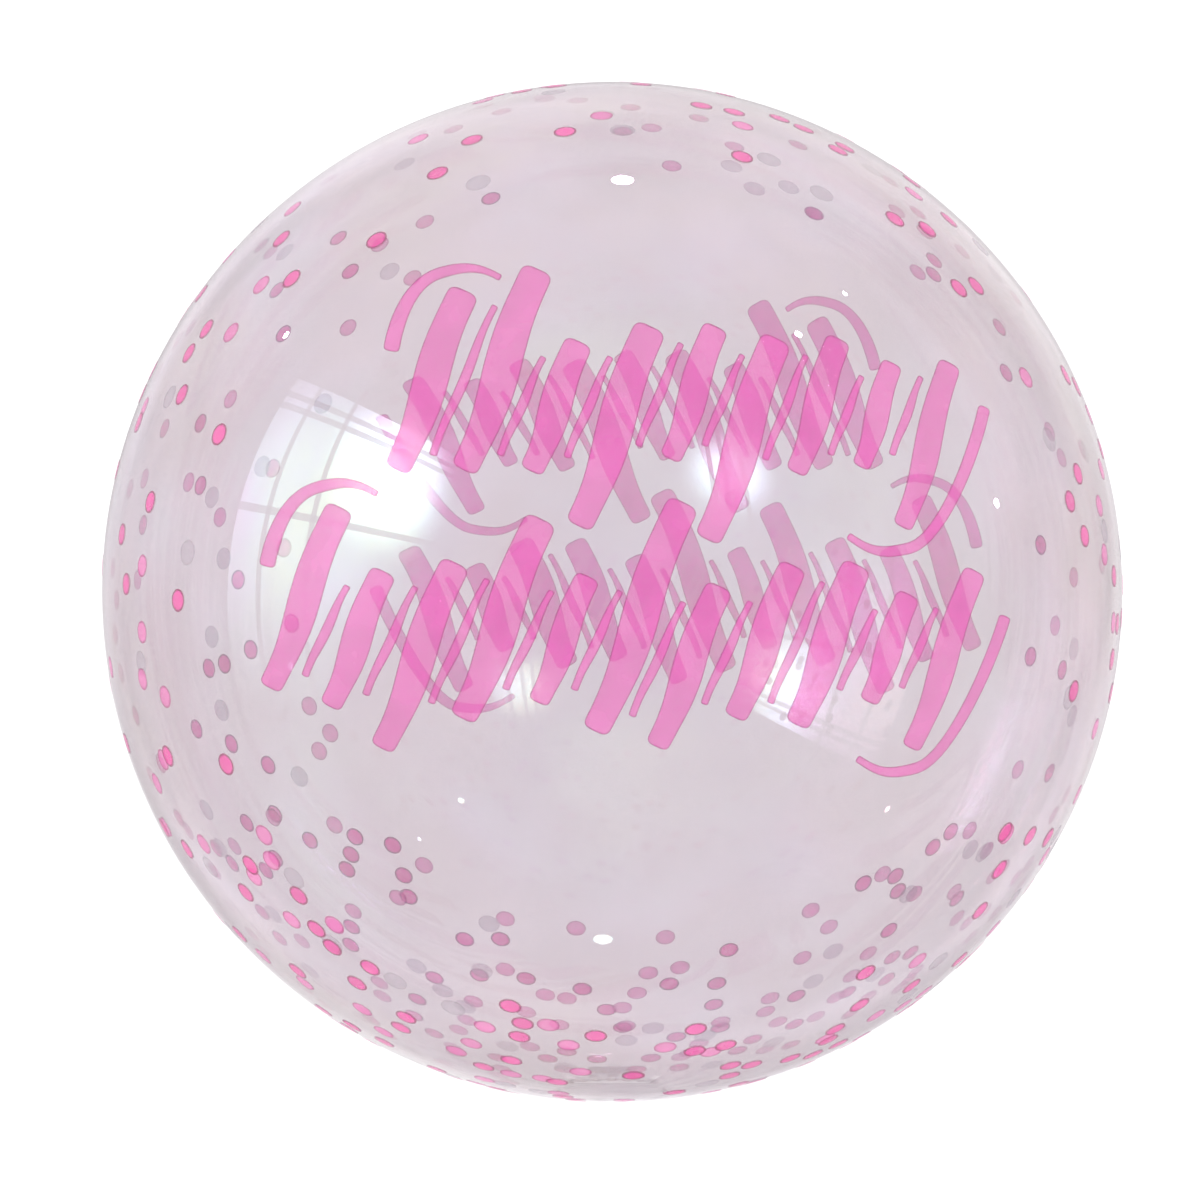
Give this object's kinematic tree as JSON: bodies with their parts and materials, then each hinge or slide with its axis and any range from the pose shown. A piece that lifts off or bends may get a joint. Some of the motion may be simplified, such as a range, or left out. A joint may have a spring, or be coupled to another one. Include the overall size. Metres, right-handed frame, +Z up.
{
  "type": "clear bubble balloon",
  "caption": "Inflated clear film ball balloon with a brush-stroke and dot print, a flat spot to lie on and a flat filling neck.",
  "frame": {"origin": "centre of the flat spot on the underside, on the surface the balloon lies on", "axes": "+Z up through the crown, +Y from the flat spot towards the neck's mouth, -Y towards the printed front, +X to the right seen from the front"},
  "size_m": [0.5, 0.5, 0.4984],
  "materials": {
    "clear_film": "clear stretch film, faint lilac grey, glossy, with soft haze",
    "pink_ink": "translucent bright pink print",
    "pearl_ink": "translucent pearl white print"
  },
  "bodies": {
    "root": {"envelope": "clear_film"}
  },
  "joints": []
}
